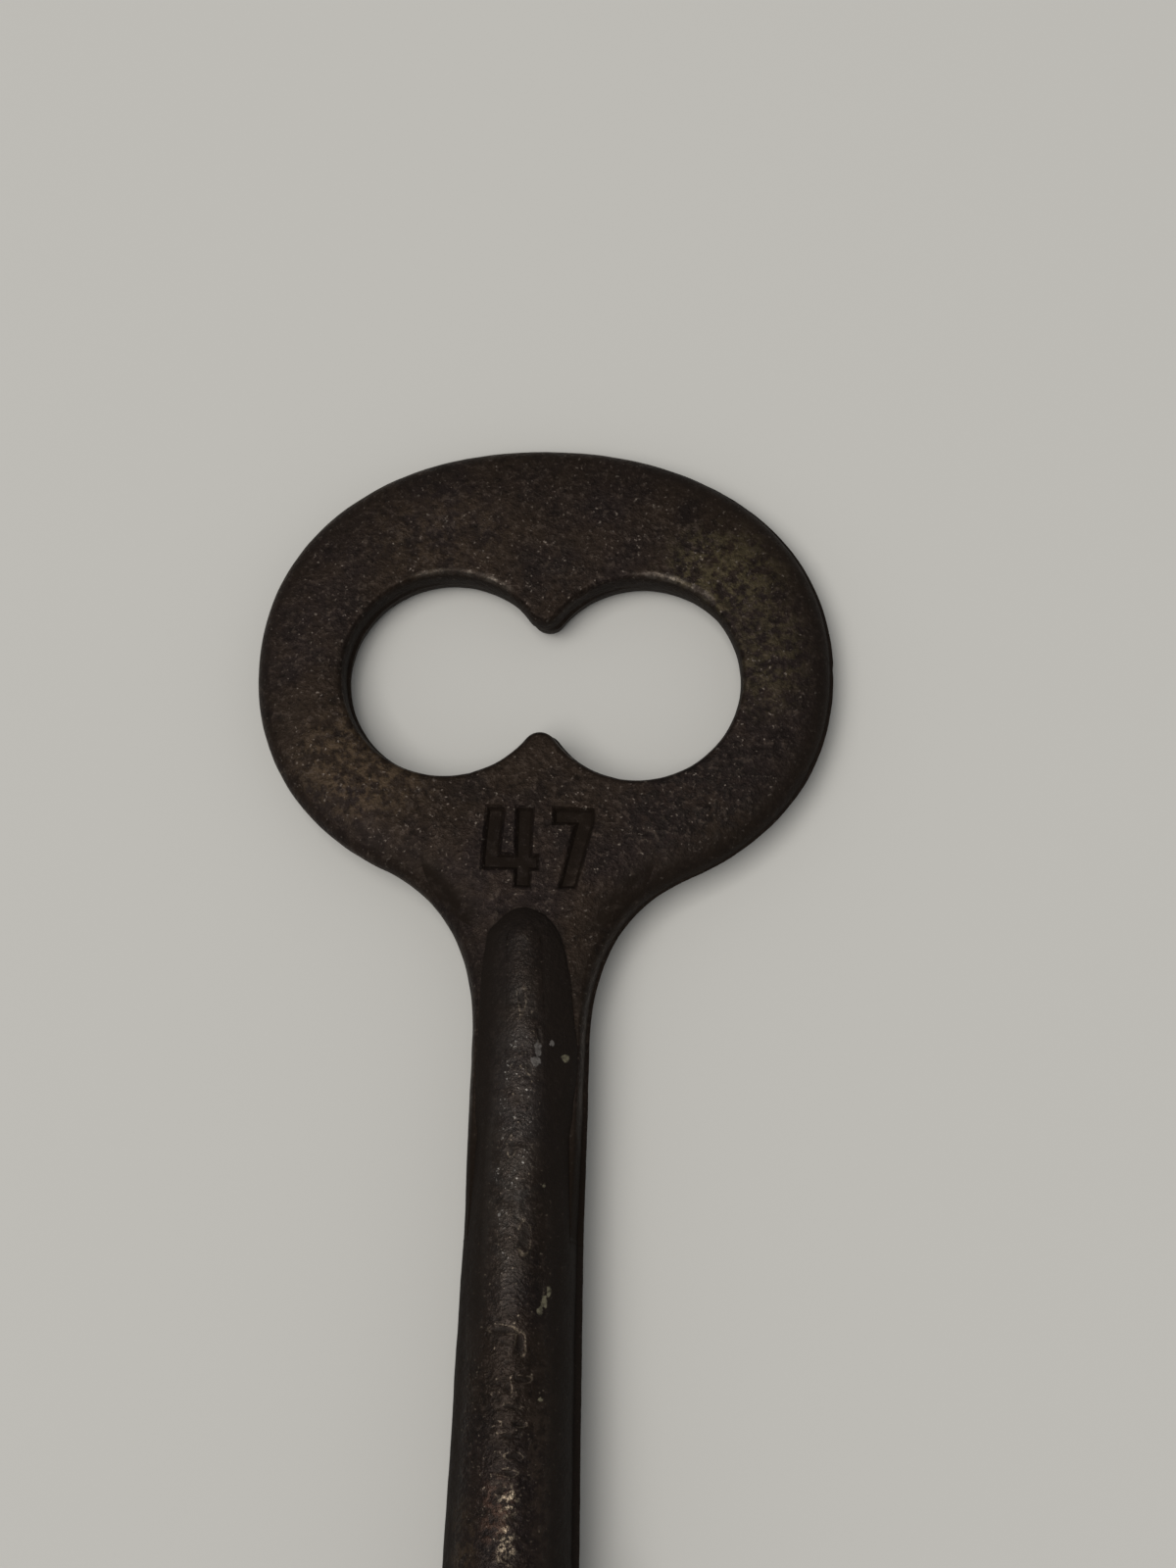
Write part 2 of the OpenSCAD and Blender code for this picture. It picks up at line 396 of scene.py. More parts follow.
def flare():
    """The right side of the neck: a curve that leaves the oval along its direction there and runs into the
    tang's side, with its middle point where the two lines meet."""
    leave, before = oval(-neck_angle), oval(1 - neck_angle)
    slope = (leave[1] - before[1]) / (leave[0] - before[0])
    middle = np.array([tang_half, leave[1] + slope * (tang_half - leave[0])])
    return curve(leave, middle, np.array([tang_half, straight_y]), count=80)


def eye_edge(toward):
    """The edge of the eye on the line from its centre towards each point: the far side of a lobe's circle,
    or near the middle the near side of the cusp's circle, which touches both lobes."""
    angle = np.arctan2(toward[:, 1] - eye_y, toward[:, 0])
    across, up = np.abs(np.cos(angle)), np.abs(np.sin(angle))
    cusp_y = math.sqrt((lobe_r + cusp_r) ** 2 - lobe_x ** 2)
    lobe = lobe_x * across + np.sqrt(lobe_r ** 2 - (lobe_x * up) ** 2)
    cusp = cusp_y * up - np.sqrt(np.clip(cusp_r ** 2 - (cusp_y * across) ** 2, 0, None))
    steep = np.arctan2(up, across) > math.atan2(cusp_y * lobe_r, lobe_x * cusp_r)
    return arc(0, eye_y, np.where(steep, cusp, lobe), angle)


let_in = 0.25
neck_columns = 94
over_top = evenly(oval(np.linspace(-neck_angle, 180 + neck_angle, 3000)))
right_side = evenly(np.concatenate([flare(), [[tang_half, tang_y - let_in]]]))
left_side = right_side * [-1, 1]
tang_end = np.linspace(left_side[-1], right_side[-1], neck_columns)
outline = np.concatenate([over_top[:-1], left_side[:-1], tang_end[:-1], right_side[:0:-1]])
print("outline of", len(outline), "points, of which", len(over_top), "go over the top")

# %% Round the edges and lay the grids
droop = 0.2
droop_reach = 2.0
droop_fade = 6
lots = 60


def distance_to(loop, flat):
    """Distance in the plan from each point to a loop's nearest point, in lots to save memory."""
    parts = np.array_split(flat[..., :2].reshape(-1, 1, 2), lots)
    nearest = [np.linalg.norm(part - loop, axis=-1).min(axis=1) for part in parts]
    return np.concatenate(nearest).reshape(flat.shape[:-1])


def worn_height(flat):
    """Height of the face: flat in the middle, and lower by up to the droop where the rounding starts, as
    the square of how far a point has come into the worn strip along the ring's outline."""
    into = np.clip(1 - (distance_to(outline, flat) - rim_round) / droop_reach, 0, 1)
    on_ring = np.clip((flat[..., 1] - straight_y) / droop_fade, 0, 1)
    return face_z - droop * into ** 2 * on_ring


def patch(top, bottom, left, right):
    """A grid between four border paths: the blend of top and bottom plus the blend of left and right, less
    the blend of the four corners, which the two have in common."""
    across = np.linspace(0, 1, len(top))[None, :, None]
    down = np.linspace(0, 1, len(left))[:, None, None]
    sides = (1 - across) * left[:, None] + across * right[:, None]
    ends = (1 - down) * top[None] + down * bottom[None]
    corners = (1 - down) * ((1 - across) * top[0] + across * top[-1])
    corners = corners + down * ((1 - across) * bottom[0] + across * bottom[-1])
    return sides + ends - corners


left_at = len(over_top) - 1
end_at = left_at + len(left_side) - 1
right_at = end_at + len(tang_end) - 1
bar_round = tang_half - math.sqrt(tang_half ** 2 - face_z ** 2)
rounding = np.interp(
    outline[:, 1],
    [tang_y, straight_y - 4, straight_y, over_top[0, 1]],
    [bar_round, tang_round, tang_round, rim_round],
)
normals = outward(outline)
normals[end_at:right_at + 1] = outline[end_at:right_at + 1] * [1 / tang_half, 0]
inset = outline - normals * rounding[:, None]
inset_right = np.concatenate([inset[right_at:], inset[:1]])[::-1]

seam_rise = 1.3
across_neck = np.linspace(-1, 1, neck_columns)
seam = joined(across_neck * inset[0, 0], inset[0, 1] + seam_rise * (1 - across_neck ** 2))
inset_ring = np.concatenate([inset[:left_at], seam[:-1]])
eye = eye_edge(inset_ring)
eye_out = outward(eye)
inset_eye = eye + eye_out * eye_round

ring_rows = 30
share = np.linspace(0, 1, ring_rows)[:, None, None]
ring_face = (1 - share) * inset_ring[None] + share * inset_eye[None]
neck_face = patch(seam, inset[end_at:right_at + 1], inset[left_at:end_at + 1], inset_right)
print("grids of", ring_face.shape[:2], "points for the ring and", neck_face.shape[:2], "for the neck")

# %% Sew the bow
fin = 0.036
fin_half = 0.05
parting = 0.04
bar_from, bar_fade = tang_y + 4, 3
mould_slip, bow_slip = 0.17, 0.085
slip_middle = 1.2
eye_square = 2.8
around_edge = np.array([90, 81, 72, 63, 54, 45, 36, 28, 21, 15, 10, 6, 3, 1])
around_edge = np.radians(np.concatenate([around_edge, -around_edge[::-1]]))[:, None]


def edge_wall(loop, away, round_in, half_t, square=2):
    """The rounded edge along a loop, from the front face (90 degrees) to the back (-90). away points out of
    the metal. The section is a half superellipse, a plain half ellipse where square is 2, and towards the
    tang's end the arc of the bar that it lies in. The fin where the mould parted stands out along it in a
    bell curve."""
    z = half_t * np.sign(around_edge) * np.abs(np.sin(around_edge)) ** (2 / square)
    ellipse = 1 - np.abs(np.cos(around_edge)) ** (2 / square)
    round_bar = (tang_half - np.sqrt(tang_half ** 2 - z ** 2)) / bar_round
    in_bar = np.clip((bar_from - loop[:, 1]) / bar_fade, 0, 1)
    draw_in = round_in * ((1 - in_bar) * ellipse + in_bar * round_bar)
    draw_in = draw_in - fin * (1 - in_bar) * np.exp(-(z / fin_half) ** 2)
    return level(loop[None] - away[None] * draw_in[:, :, None], z)


def slip_mould(points):
    """Moves what lies in front of the parting line left and what lies behind it right, and both first
    inwards by as much, so that the piece keeps its width. The slip grows towards the shoulder and ends at
    the collar."""
    heights = [shoulder_y, shoulder_y + 3, 32, 46]
    slip = np.interp(points[..., 1], heights, [0, mould_slip, mould_slip, bow_slip])
    points = points.copy()
    points[..., 0] -= slip * (np.tanh(points[..., 2] / parting) + np.tanh(points[..., 0] / slip_middle))
    return points


faces = [(ring_face, worn_height(ring_face), True), (neck_face, worn_height(neck_face), False)]
bow_grids = [(level(flat, side * height), ring) for side in (1, -1) for flat, height, ring in faces]
bow_grids.append((edge_wall(outline, normals, rounding, worn_height(inset)), True))
eye_sizes = [np.full(len(eye), size) for size in (eye_round, face_z)]
bow_grids.append((edge_wall(eye, -eye_out, *eye_sizes, eye_square), True))
bow = sew("bow_casting", [(slip_mould(points), ring) for points, ring in bow_grids])
sink_skin(bow, cast_skin)

# %% [markdown]
# ## Numerals
# Two plain numerals stand sunk in the neck, as on a key that hangs on a numbered hook. A square-cut punch
# leaves walls that lean out a little, and use has rounded the edge along the top. Blender's text could be
# cut in, but its strokes have no such walls. Here each numeral is an outline of a few corners, and its
# cutter has that outline at five levels: the floor, two steps of the worn edge, the face and a level above
# it.

# %% Cut the numerals
numeral_depth = 0.32
wall_lean = 0.13
chamfer = 0.09
sunk_face = -0.05
proud = 0.4
numerals_at = np.array([0.03, 53.45])
four_at, seven_at = -2.5, 0.68
four = [
    (1.48, -1.85), (2.22, -1.85), (2.22, -1.02), (2.56, -1.02), (2.56, -0.32),
    (2.22, -0.32), (2.22, 1.85), (1.48, 1.85), (1.48, -0.32), (0.76, -0.32),
    (0.90, 1.85), (0.14, 1.85), (0.0, -0.32), (0.0, -1.02), (1.48, -1.02),
]
seven = [(0.34, -1.85), (1.12, -1.85), (1.82, 1.2), (1.82, 1.85), (0.0, 1.85), (0.0, 1.14), (1.0, 1.14)]


def grown(corners, by):
    """An outline with all its sides moved out by a distance. At a corner, the two sides' normals are added
    and divided by one plus their product, which keeps both sides parallel to what they were."""
    after = right_of(np.roll(corners, -1, axis=0) - corners)
    before = np.roll(after, 1, axis=0)
    return corners + by * (after + before) / (1 + (after * before).sum(axis=1))[:, None]


def punch(name, corners, shift):
    """The cutter of one numeral."""
    corners = np.array(corners) + numerals_at + [shift, 0]
    levels = [
        (-numeral_depth, -wall_lean),
        (sunk_face - 1.4 * chamfer, -0.02),
        (sunk_face - 0.45 * chamfer, 0.35 * chamfer),
        (sunk_face, chamfer),
        (proud, chamfer + proud),
    ]
    return prism(name, np.stack([level(grown(corners, by), face_z + height) for height, by in levels]))


carve(bow, punch("numeral_four", four, four_at))
carve(bow, punch("numeral_seven", seven, seven_at))
print("bow_casting with numerals has", len(bow.data.polygons), "faces")

# %% [markdown]
# ## Shank
# The shank is a round bar that swells from the neck to a shoulder, then steps down to a barrel for the
# collar and the bit, and ends in a pilot pin. Its nose is a ball that lies half sunk on each side of the
# bow: the bar is forked there and straddles the tang. The ball touches the bar's cone where their
# directions agree. It is a profile turned round the Y axis, with the fork and the bit's slot carved out.
# The mould slipped here too, more than on the bow, and the nose leans a little to one side. Rows and
# columns lie closer where the ridge is nicked and along the parting line.

# %% Turn the shank


def rounded_corner(before, corner, after, radius):
    """Five points of the curve that cuts a corner, from a radius before it to a radius after it."""
    legs = [end - corner for end in (before, after)]
    first, last = [corner + leg / np.linalg.norm(leg) * radius for leg in legs]
    return curve(first, corner, last, count=5)


cone = math.atan((tang_half - nose_r) / (nose_y - tang_y))
leave_y = nose_y + nose_r * math.sin(cone)
leave_r = nose_r - (leave_y - nose_y) * math.tan(cone)
ball = leave_r / math.cos(cone)
marks = np.array([
    (0, shank_low[1]),
    (tip_r, shank_low[1]),
    (pin_r, -pin_len),
    (pin_r, 0),
    (barrel_r, 0),
    (barrel_r, shoulder_y),
    (shoulder_r, shoulder_y),
    (tang_half, tang_y),
    (leave_r, leave_y),
])
corner_soft = [0.15, 0.2, 0.05, 0.12, 0.05, 0.12]
profile = [marks[:1]]
for k, soft in enumerate(corner_soft, 1):
    profile.append(rounded_corner(*marks[k - 1:k + 2], soft))
profile.append(marks[len(corner_soft) + 1:])
profile.append(arc(0, nose_y, ball, np.linspace(cone, math.pi / 2, 24)[1:]))
profile = through(np.concatenate(profile))

worn_low, worn_high = 21.0, 34.0
middle = (profile[1:] + profile[:-1]) / 2
worn = (middle[:, 1] > worn_low) & (middle[:, 1] < worn_high)
profile = np.insert(profile, np.nonzero(worn)[0] + 1, middle[worn], axis=0)

front = np.concatenate([np.linspace(7, 64, 20), np.linspace(65.5, 114.5, 34), np.linspace(116, 173, 20)])
back_turn = np.linspace(187, 353, 56)
seams = [np.array([-4, -2.2, -1, 0, 1, 2.2, 4]) + 180 * k for k in (0, 1)]
bar = lathe(profile, np.radians(np.concatenate([seams[0], front, seams[1], back_turn])))
blunt_from, blunt_reach = 48.4, 2.4
nose_blunt = 0.2
nose_lean = 0.36


def shape_nose(points):
    """Draws the nose's end in to a blunt point, and moves its front left and its back right, because it
    doesn't lie quite in the middle of the neck."""
    x, y, z = points[..., 0], points[..., 1], points[..., 2]
    end = np.clip((y - blunt_from) / blunt_reach, 0, 1) ** 1.6
    aside = np.interp(y, [44.3, 49.5], [0, nose_lean])
    return joined(x * (1 - nose_blunt * end) - aside * np.tanh(z / parting), y - nose_blunt * end, z)


shank = sew("shank_bar", [(slip_mould(shape_nose(bar)), True)], weld=0.0008)

# %% [markdown]
# The bar was cast with the same sand as the bow, but hands have smoothed it. A few dents and nicks on its
# ridge come from years against other keys. Each dent is a shallow hollow. The fork and the slot for the bit
# are carved last, so that their edges stay crisp.

# %% Wear the shank
smoother = 0.25
dents = [
    # height along the shank, turn from the ridge in degrees, length, width, depth
    (46.2, -9, 0.9, 0.5, 0.05),
    (44.6, 14, 0.6, 0.3, 0.06),
    (43.1, 3, 0.5, 0.35, 0.05),
    (39.6, -12, 0.8, 0.4, 0.05),
    (35.6, 4, 1.2, 0.55, 0.06),
    (33.4, 22, 0.9, 0.30, 0.09),
    (31.6, -13, 0.30, 1.3, 0.08),
    (31.0, 4, 0.9, 0.45, 0.08),
    (29.5, 6, 0.30, 1.0, 0.08),
    (29.1, -5, 0.55, 0.32, 0.07),
    (28.3, -4, 0.22, 0.9, 0.07),
    (27.6, 8, 0.22, 0.5, 0.06),
    (27.0, -3, 0.24, 1.0, 0.07),
    (26.2, 2, 0.22, 0.7, 0.06),
    (25.5, -4, 0.24, 0.9, 0.07),
    (24.8, -8, 0.40, 0.5, 0.06),
    (23.6, 3, 0.35, 0.6, 0.07),
    (22.9, -5, 0.30, 0.4, 0.06),
    (22.0, 1, 0.40, 0.5, 0.06),
]


def dent_shares(points):
    """How deep each point lies in each dent: 1 in its middle and less outwards, as a bell curve. A little
    noise bends the dents, so that none is a plain oval."""
    turn_from_ridge = np.degrees(np.arctan2(points[:, 0], points[:, 2])) + 2.2 * hills(points, 0.55, 61)
    up = points[:, 1] + 0.10 * hills(points, 0.6, 67)
    for height, angle, long, wide, deep in dents:
        aside = (turn_from_ridge - angle) * math.pi / 180 * shoulder_r / (wide / 2)
        yield np.exp(-((up - height) / (long / 2)) ** 2 - aside ** 2), deep


def bar_skin(points):
    """Depth of the bar's skin: the casting's, less of it on the turned barrel and pin, and the dents."""
    depth = cast_skin(points) * np.where(points[:, 1] < shoulder_y, smoother, 1)
    return depth + sum(deep * share for share, deep in dent_shares(points))


past_bar = 4
sink_skin(shank, bar_skin)
carve(shank, block("fork", (-past_bar, tang_y, -face_z), (past_bar, nose_y + 3, face_z)))
carve(shank, block("bit_slot", (bit_low[0], 0, bit_low[2]), (past_bar, bit_high[1], bit_high[2])))

# %% [markdown]
# ## Collar
# The collar is a turned bead that was slid on the barrel up to the shoulder. It stops the key at the right
# depth in the lock. Its outline is a closed loop: bore, two faces and a half-round, turned round the
# shank's axis.

# %% Turn the collar


def turned(name, loop, columns):
    """A closed loop of (radius, height) points, turned once round the Y axis."""
    angle = np.radians(np.linspace(0, 360, columns, endpoint=False))
    return sew(name, [(lathe(np.concatenate([loop, loop[:1]]), angle), True)])


collar_r = collar_high[0]
bead_r = (collar_high[1] - collar_low[1]) / 2
bead_mid = collar_low[1] + bead_r
bore = through([(barrel_r, collar_high[1]), (barrel_r, collar_low[1])], 0.3)
bead = arc(collar_r - bead_r, bead_mid, bead_r, np.radians(np.linspace(-86, 86, 30)))
collar = turned("collar_bead", np.concatenate([bore, bead]), 168)


def bead_skin(points):
    """Depth of the bead's skin: large and small hills, and a few pits."""
    uneven = 0.012 * (1 + hills(points, 1.6, 91)) + 0.004 * (1 + hills(points, 0.5, 93))
    return uneven + 0.03 * pits(points, 1.4, 0.3, 0.12, 97)


sink_skin(collar, bead_skin)

# %% [markdown]
# ## Bit
# The bit is the flat piece that turns the bolt. Two ward notches and a step were sawn and filed into it by
# hand, so its edges are broken all round. Front and back are height fields over one plan: the height falls
# in a quarter round within a chamfer's width of the nearest edge. Cells of the plan that lie in a notch are
# left out, and walls stand wherever a filled cell meets an empty one.

# %% File the bit
edge_r = 0.16
closest = 0.06
ward_mid, ward_half = 5.6, 0.65
ward_in, ward_out = ward_mid - ward_half, ward_mid + ward_half
low_ward, high_ward = 3.4, bit_high[1] - 2.6
step_x, step_low, step_high = bit_high[0] - 1.2, 4.4, 6.8
past_bit = 20
cut_rooms = [
    ((ward_in, -past_bit), (ward_out, low_ward)),
    ((ward_in, high_ward), (ward_out, past_bit)),
    ((step_x, step_low), (past_bit, step_high)),
]


def plan_lines(low, high, borders):
    """Grid lines between two ends: one on each border, four close beside it, and the rest spread evenly,
    but none of those closer than 0.06 mm to a line that belongs to a border."""
    near = np.array([0, 0.03, 0.07, 0.115, edge_r])
    exact = np.concatenate([border + side * near for border in borders for side in (-1, 1)])
    lines = np.unique(np.clip(np.concatenate([np.linspace(low, high, 48), exact]), low, high).round(4))
    beside = np.abs(lines[:, None] - exact.round(4)).min(axis=1)
    return lines[(beside <= 1e-6) | (beside >= closest)]


def edge_distance(x, y):
    """Distance in the plan from each point to the nearest edge of the bit."""
    near = np.minimum.reduce([bit_high[0] - x, y - bit_low[1], bit_high[1] - y])
    for (x0, y0), (x1, y1) in cut_rooms:
        dx = np.maximum.reduce([x0 - x, np.zeros_like(x), x - x1])
        dy = np.maximum.reduce([y0 - y, np.zeros_like(y), y - y1])
        near = np.minimum(near, np.hypot(dx, dy))
    return np.clip(near, 0, edge_r)


xs = plan_lines(bit_low[0], bit_high[0], [bit_high[0], ward_in, ward_out, step_x])
y_borders = [bit_low[1], bit_high[1], low_ward, high_ward, step_low, step_high]
ys = plan_lines(bit_low[1], bit_high[1], y_borders)
plan_x, plan_y = np.meshgrid(xs, ys, indexing="ij")
half_t = bit_high[2] - edge_r + np.sqrt(edge_r ** 2 - (edge_r - edge_distance(plan_x, plan_y)) ** 2)
mid_x, mid_y = (xs[1:] + xs[:-1])[:, None] / 2, (ys[1:] + ys[:-1])[None] / 2
filled = np.ones((mid_x.size, mid_y.size), bool)
for (x0, y0), (x1, y1) in cut_rooms:
    filled &= ~((mid_x > x0) & (mid_x < x1) & (mid_y > y0) & (mid_y < y1))

number = np.arange(plan_x.size).reshape(plan_x.shape)
back = plan_x.size
quads = joined(number[:-1, :-1], number[1:, :-1], number[1:, 1:], number[:-1, 1:])[filled]
room = np.pad(filled, 1)
walls = []
for before, after, start, end in (
    (room[:-1, 1:-1], room[1:, 1:-1], number[:, :-1], number[:, 1:]),
    (room[1:-1, :-1], room[1:-1, 1:], number[:-1, :], number[1:, :]),
):
    walls.append(joined(start, end, end + back, start + back)[before != after])
bit_points = np.concatenate([joined(plan_x, plan_y, side * half_t).reshape(-1, 3) for side in (1, -1)])
bit_faces = np.concatenate([quads, quads[:, ::-1] + back, *walls])
used, bit_faces = np.unique(bit_faces, return_inverse=True)
bit = mesh_piece("bit_plate", bit_points[used], bit_faces.reshape(-1, 4))


def filed_skin(points):
    """Depth of the bit's skin: low hills and a few pits, since it was filed flat."""
    return 0.006 * (1 + hills(points, 1.2, 101)) + 0.02 * pits(points, 1.3, 0.25, 0.1, 103)


sink_skin(bit, filed_skin)

# %% [markdown]
# ## Brazing
# The pieces were joined with brass, which ran into the corners. Along the bit and the collar it set in a
# hollow: what a ball leaves free that rolls along the bar and the flat face. Round the nose it stands full
# and falls steeply to the face. It runs up one cheek of the shank, round the nose and down the other cheek,
# and settles into the bar's own surface where the bar becomes as wide as the tang.

# %% Shape the fillets' sections
section_points = 13
let_under = 0.09
leave_angle = 66
brim = 0.16
under_bar = 0.05


def hollow_section(bar_r, face, foot):
    """(distance from the bar's axis, height) of a fillet's section. The ball that touches the face at foot
    and the bar has the radius (foot^2 + face^2 - bar_r^2) / (2 (bar_r - face)). The section follows the
    ball from the bar to the face, dives into the face at a low angle and closes inside the bar."""
    ball_r = (foot ** 2 + face ** 2 - bar_r ** 2) / (2 * (bar_r - face))
    lean_to_bar = np.arctan2(-(face + ball_r), -foot)
    angle = lean_to_bar + (-math.pi / 2 - lean_to_bar) * np.linspace(0, 1, section_points)
    surface = arc(foot, face + ball_r, ball_r, angle)
    sunk = face - let_under
    inside = [
        (foot + 0.12, face - 0.035),
        (foot + 0.12, sunk),
        (surface[0, 0] * 0.55 + foot * 0.3, sunk),
        (surface[0, 0] - 0.3, surface[0, 1] - 0.12),
    ]
    return np.concatenate([surface, inside])


def full_section(bar_r, foot, face, settled):
    """The same for the neck's brazing, which is full. It leaves the bar along the bar's own surface,
    leave_angle degrees up from the face's plane, and falls in a curve to its foot, almost upright there.
    Where it has settled, it is an arc just below the bar's surface."""
    start = math.radians(leave_angle)
    leave = bar_r * np.array([math.cos(start), math.sin(start)])
    drawn = foot - brim
    toward = np.array([drawn, leave[1] - (drawn - leave[0]) / math.tan(start)])
    over = curve(leave, toward, np.array([foot, face]), section_points)
    turn = start + (math.asin(face / bar_r) - start) * np.linspace(0, 1, section_points)
    surface = (1 - settled) * over + settled * arc(0, 0, bar_r - under_bar, turn)
    inside = [surface[-1] - [0.06, let_under], (leave[0] * 0.5, face - let_under), leave - [0.2, 0.25]]
    return np.concatenate([surface, inside])


# %% Run the fillets
flat_half = tang_half - tang_round
nose_foot = 1.88
leg_end, full_from = 37.6, 44.2
under_face, under_edge = 0.006, 0.05
wave_deep, wave_top, wave_fade = 0.07, 1.9, 0.5
down_leg = np.linspace(leg_end, leave_y, 70)
leg_r = nose_r + (nose_y - down_leg) * math.tan(cone)
foot_heights = [leg_end, 42, 44.6, 46.8, 48.4, leave_y]
leg_foot = np.interp(down_leg, foot_heights, [2.58, 2.56, 2.37, 2.17, 1.98, nose_foot])
past_flat = np.clip((leg_foot - flat_half) / tang_round, 0, 1)
leg_face = face_z * np.sqrt(1 - past_flat ** 2) - under_face - under_edge * past_flat
still = np.clip((down_leg - leg_end) / (full_from - leg_end), 0, 1)
settled = 1 - still ** 2 * (3 - 2 * still)
nose_turn = np.linspace(cone, math.pi - cone, 50)[1:-1]
right_foot = joined(leg_foot, down_leg)
foot_line = np.concatenate([right_foot, arc(0, nose_y, nose_foot, nose_turn), right_foot[::-1] * [-1, 1]])
foot_line = slip_mould(shape_nose(level(foot_line, face_z)))[:, :2]


def neck_fillet():
    """The section carried along the horseshoe: up the right leg, round the nose and down the left leg."""
    right = np.stack([full_section(*sizes) for sizes in zip(leg_r, leg_foot, leg_face, settled)])
    legs = joined(right[..., 0], down_leg[:, None], right[..., 1])
    away, height = full_section(ball, nose_foot, leg_face[-1], 0).T
    turn = nose_turn[:, None]
    bend = joined(away * np.cos(turn), nose_y + away * np.sin(turn), height)
    return np.concatenate([legs, bend, legs[::-1] * [-1, 1, 1]])


def strip(name, sections):
    """A closed bead of brass: its sections in a row, with a flat end on the first and on the last."""
    middles = sections[[0, -1]].mean(axis=1, keepdims=True)
    ends = [np.stack([sections[k], np.broadcast_to(middles[k], sections[k].shape)]) for k in (0, -1)]
    return sew(name, [(sections, True), (ends[0], True), (ends[1], True)])


neck_sections = shape_nose(neck_fillet())
waves = hills(neck_sections.reshape(-1, 3), 1.2, 141).reshape(neck_sections.shape[:2])
low_down = np.clip((wave_top - neck_sections[..., 2]) / wave_fade, 0, 1)
neck_sections[..., 0] += wave_deep * waves * low_down
neck_front = strip("neck_brazing_front", slip_mould(neck_sections))
neck_back = strip("neck_brazing_back", slip_mould(neck_sections * [-1, 1, -1]))

from_end = 0.02
foot_mean, foot_wander = 2.72, 0.12
bit_run = np.linspace(from_end, bit_high[1] - from_end, 60)
bit_foot = foot_mean + foot_wander * hills(joined(bit_run, 0, 0), 2.2, 121)
bit_right = np.stack([hollow_section(barrel_r, bit_high[2], foot) for foot in bit_foot])
bit_sections = joined(bit_right[..., 0], bit_run[:, None], bit_right[..., 1])
bit_front = strip("bit_brazing_front", bit_sections)
bit_back = strip("bit_brazing_back", bit_sections * [1, 1, -1])

hollow = 0.8
hollow_turn = np.radians(np.linspace(180, 90, 12))
collar_arc = arc(barrel_r + hollow, collar_low[1] - hollow, hollow, hollow_turn)
under_collar = [[barrel_r + 0.3, collar_low[1] + 0.1], [barrel_r - 0.1, collar_low[1]]]
collar_braze = turned("collar_brazing", np.concatenate([collar_arc, under_collar]), 150)
for fillet in (neck_front, neck_back):
    sink_skin(fillet, cast_skin)
for fillet in (bit_front, bit_back, collar_braze):
    sink_skin(fillet, lambda points: smoother * cast_skin(points))

# %% [markdown]
# ## Helpers for materials
# A material is a small network of nodes. These helpers add a node to the network that a socket belongs to,
# link what feeds it and hand back its output, so that a finish reads as a list of layers. All patterns lie
# on Object coordinates, in metres, so a pattern's size is its real size on the key.

# %% Make node networks short


def new_material(name):
    """A material and the inputs of its Principled shader."""
    material = bpy.data.materials.new(name)
    material.use_nodes = True
    return material, next(n for n in material.node_tree.nodes if n.type == "BSDF_PRINCIPLED").inputs


def feed(socket, value):
    """Links an output to a socket, or types a value into it."""
    if isinstance(value, bpy.types.NodeSocket):
        socket.id_data.links.new(value, socket)
    else:
        socket.default_value = value


def add_node(beside, kind, fed, **settings):
    """A node of a kind, in the network of the socket beside it, with its settings and fed inputs."""
    made = beside.id_data.nodes.new("ShaderNode" + kind)
    for name, setting in settings.items():
        setattr(made, name, setting)
    for name, value in fed.items():
        feed(made.inputs[name], value)
    return made


def noise(at, size_mm, detail=3, roughness=0.55):
    """Noise with features of a real size, from 0 to 1."""
    fed = {"Vector": at, "Scale": 1 / (size_mm * MM), "Detail": detail, "Roughness": roughness}
    return add_node(at, "TexNoise", fed).outputs["Fac"]


def between(value, low, high, start=0.0, end=1.0):
    """Where a value lies between low and high, as a smooth step from start to end."""
    fed = {"Value": value, "From Min": low, "From Max": high, "To Min": start, "To Max": end}
    return add_node(value, "MapRange", fed, interpolation_type="SMOOTHSTEP").outputs["Result"]


def math_of(operation, a, b=0):
    """The result of one calculation on one or two values."""
    beside = a if isinstance(a, bpy.types.NodeSocket) else b
    return add_node(beside, "Math", {0: a, 1: b}, operation=operation).outputs[0]


def times(*values):
    """The product of several values."""
    return reduce(lambda a, b: math_of("MULTIPLY", a, b), values)


def highest(*values):
    """The largest of several values."""
    return reduce(lambda a, b: math_of("MAXIMUM", a, b), values)


def less(value, share):
    """A value, reduced by a share of itself."""
    return times(value, math_of("SUBTRACT", 1.0, share))


def away_from(value, middle):
    """How far a value is from a middle one."""
    return math_of("ABSOLUTE", math_of("SUBTRACT", value, middle))


def tint(share, under, over):
    """One colour, covered by another to a share. A colour is an output or three numbers."""
    under, over = [c if isinstance(c, bpy.types.NodeSocket) else (*c, 1) for c in (under, over)]
    return add_node(share, "Mix", {0: share, 6: under, 7: over}, data_type="RGBA").outputs[2]


def blot(at, centre_mm, reach_mm):
    """A soft spot: 1 round a point and 0 beyond its reach, which may differ along the axes."""
    fed = {"Vector": at, "Location": [c * MM for c in centre_mm], "Scale": [c * MM for c in reach_mm]}
    moved = add_node(at, "Mapping", fed, vector_type="TEXTURE").outputs["Vector"]
    length = add_node(at, "VectorMath", {0: moved}, operation="LENGTH").outputs["Value"]
    return between(length, 0.35, 1.0, 1.0, 0.0)


def relief(height, depth_mm, below=None):
    """A bump of a real depth, laid over the bump below it."""
    fed = {"Strength": 1.0, "Distance": depth_mm * MM, "Height": height}
    if below is not None:
        fed["Normal"] = below
    return add_node(height, "Bump", fed).outputs["Normal"]


